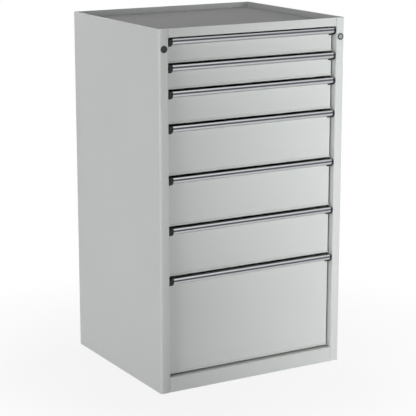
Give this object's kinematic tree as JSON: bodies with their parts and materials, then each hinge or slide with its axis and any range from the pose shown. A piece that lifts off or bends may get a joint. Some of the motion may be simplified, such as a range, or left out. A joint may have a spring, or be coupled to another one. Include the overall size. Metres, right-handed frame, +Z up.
{
  "type": "drawer cabinet",
  "caption": "Industrial drawer cabinet of folded sheet steel with full-width aluminium handles, telescopic slides, a key lock and a lipped, matted top.",
  "frame": {"origin": "on the floor, under the middle of the whole cabinet", "axes": "+Z up, the drawers open along -Y, +X to the right as seen from the front"},
  "size_m": [0.632, 0.5544, 1.075],
  "materials": {
    "painted_steel": "light grey powder coat, satin",
    "anodised_aluminium": "satin anodised",
    "black_plastic": "black, fine texture",
    "zinc_plated_steel": "zinc plated",
    "lock_chrome": "polished",
    "grey_rubber": "matt grey"
  },
  "bodies": {
    "housing": {"left_side_panel": "painted_steel", "right_side_panel": "painted_steel", "back_panel": "painted_steel", "floor_panel": "painted_steel", "top_tray": "painted_steel", "top_mat": "grey_rubber", "lock_housing": "lock_chrome", "blank_plug": "black_plastic"},
    "lock_plug": {"lock_plug": "lock_chrome"},
    "locking_bar": {"locking_bar": "zinc_plated_steel"},
    "drawer_1": {"drawer_1_tray": "painted_steel", "drawer_1_front": "painted_steel", "drawer_1_handle": "anodised_aluminium", "drawer_1_cap_left": "black_plastic", "drawer_1_cap_right": "black_plastic"},
    "drawer_1_slides": {"drawer_1_slide_left": "zinc_plated_steel", "drawer_1_slide_right": "zinc_plated_steel"},
    "drawer_2": {"drawer_2_tray": "painted_steel", "drawer_2_front": "painted_steel", "drawer_2_handle": "anodised_aluminium", "drawer_2_cap_left": "black_plastic", "drawer_2_cap_right": "black_plastic"},
    "drawer_2_slides": {"drawer_2_slide_left": "zinc_plated_steel", "drawer_2_slide_right": "zinc_plated_steel"},
    "drawer_3": {"drawer_3_tray": "painted_steel", "drawer_3_front": "painted_steel", "drawer_3_handle": "anodised_aluminium", "drawer_3_cap_left": "black_plastic", "drawer_3_cap_right": "black_plastic"},
    "drawer_3_slides": {"drawer_3_slide_left": "zinc_plated_steel", "drawer_3_slide_right": "zinc_plated_steel"},
    "drawer_4": {"drawer_4_tray": "painted_steel", "drawer_4_front": "painted_steel", "drawer_4_handle": "anodised_aluminium", "drawer_4_cap_left": "black_plastic", "drawer_4_cap_right": "black_plastic"},
    "drawer_4_slides": {"drawer_4_slide_left": "zinc_plated_steel", "drawer_4_slide_right": "zinc_plated_steel"},
    "drawer_5": {"drawer_5_tray": "painted_steel", "drawer_5_front": "painted_steel", "drawer_5_handle": "anodised_aluminium", "drawer_5_cap_left": "black_plastic", "drawer_5_cap_right": "black_plastic"},
    "drawer_5_slides": {"drawer_5_slide_left": "zinc_plated_steel", "drawer_5_slide_right": "zinc_plated_steel"},
    "drawer_6": {"drawer_6_tray": "painted_steel", "drawer_6_front": "painted_steel", "drawer_6_handle": "anodised_aluminium", "drawer_6_cap_left": "black_plastic", "drawer_6_cap_right": "black_plastic"},
    "drawer_6_slides": {"drawer_6_slide_left": "zinc_plated_steel", "drawer_6_slide_right": "zinc_plated_steel"},
    "drawer_7": {"drawer_7_tray": "painted_steel", "drawer_7_front": "painted_steel", "drawer_7_handle": "anodised_aluminium", "drawer_7_cap_left": "black_plastic", "drawer_7_cap_right": "black_plastic"},
    "drawer_7_slides": {"drawer_7_slide_left": "zinc_plated_steel", "drawer_7_slide_right": "zinc_plated_steel"}
  },
  "joints": [
    {"name": "lock_turn", "type": "hinge", "parent": "housing", "child": "lock_plug", "pos_m": [0.30025, -0.27475, 1.018], "axis": [0, 1, 0], "range_deg": [0, 90]},
    {"name": "locking_bar_shift", "type": "slide", "parent": "housing", "child": "locking_bar", "axis": [-1, 0, 0], "range_m": [0, 0.00919]},
    {"name": "drawer_1_open", "type": "slide", "parent": "housing", "child": "drawer_1", "axis": [0, -1, 0], "range_m": [0, 0.48]},
    {"name": "drawer_1_slides_run", "type": "slide", "parent": "housing", "child": "drawer_1_slides", "axis": [0, -1, 0], "range_m": [0, 0.24]},
    {"name": "drawer_2_open", "type": "slide", "parent": "housing", "child": "drawer_2", "axis": [0, -1, 0], "range_m": [0, 0.48]},
    {"name": "drawer_2_slides_run", "type": "slide", "parent": "housing", "child": "drawer_2_slides", "axis": [0, -1, 0], "range_m": [0, 0.24]},
    {"name": "drawer_3_open", "type": "slide", "parent": "housing", "child": "drawer_3", "axis": [0, -1, 0], "range_m": [0, 0.48]},
    {"name": "drawer_3_slides_run", "type": "slide", "parent": "housing", "child": "drawer_3_slides", "axis": [0, -1, 0], "range_m": [0, 0.24]},
    {"name": "drawer_4_open", "type": "slide", "parent": "housing", "child": "drawer_4", "axis": [0, -1, 0], "range_m": [0, 0.48]},
    {"name": "drawer_4_slides_run", "type": "slide", "parent": "housing", "child": "drawer_4_slides", "axis": [0, -1, 0], "range_m": [0, 0.24]},
    {"name": "drawer_5_open", "type": "slide", "parent": "housing", "child": "drawer_5", "axis": [0, -1, 0], "range_m": [0, 0.48]},
    {"name": "drawer_5_slides_run", "type": "slide", "parent": "housing", "child": "drawer_5_slides", "axis": [0, -1, 0], "range_m": [0, 0.24]},
    {"name": "drawer_6_open", "type": "slide", "parent": "housing", "child": "drawer_6", "axis": [0, -1, 0], "range_m": [0, 0.48]},
    {"name": "drawer_6_slides_run", "type": "slide", "parent": "housing", "child": "drawer_6_slides", "axis": [0, -1, 0], "range_m": [0, 0.24]},
    {"name": "drawer_7_open", "type": "slide", "parent": "housing", "child": "drawer_7", "axis": [0, -1, 0], "range_m": [0, 0.48]},
    {"name": "drawer_7_slides_run", "type": "slide", "parent": "housing", "child": "drawer_7_slides", "axis": [0, -1, 0], "range_m": [0, 0.24]}
  ],
  "couplings": [
    {"joint": "lock_turn", "follows": "locking_bar_shift", "rad_per_m": 170.88},
    {"joint": "drawer_1_slides_run", "follows": "drawer_1_open", "ratio": 0.5},
    {"joint": "drawer_2_slides_run", "follows": "drawer_2_open", "ratio": 0.5},
    {"joint": "drawer_3_slides_run", "follows": "drawer_3_open", "ratio": 0.5},
    {"joint": "drawer_4_slides_run", "follows": "drawer_4_open", "ratio": 0.5},
    {"joint": "drawer_5_slides_run", "follows": "drawer_5_open", "ratio": 0.5},
    {"joint": "drawer_6_slides_run", "follows": "drawer_6_open", "ratio": 0.5},
    {"joint": "drawer_7_slides_run", "follows": "drawer_7_open", "ratio": 0.5}
  ]
}
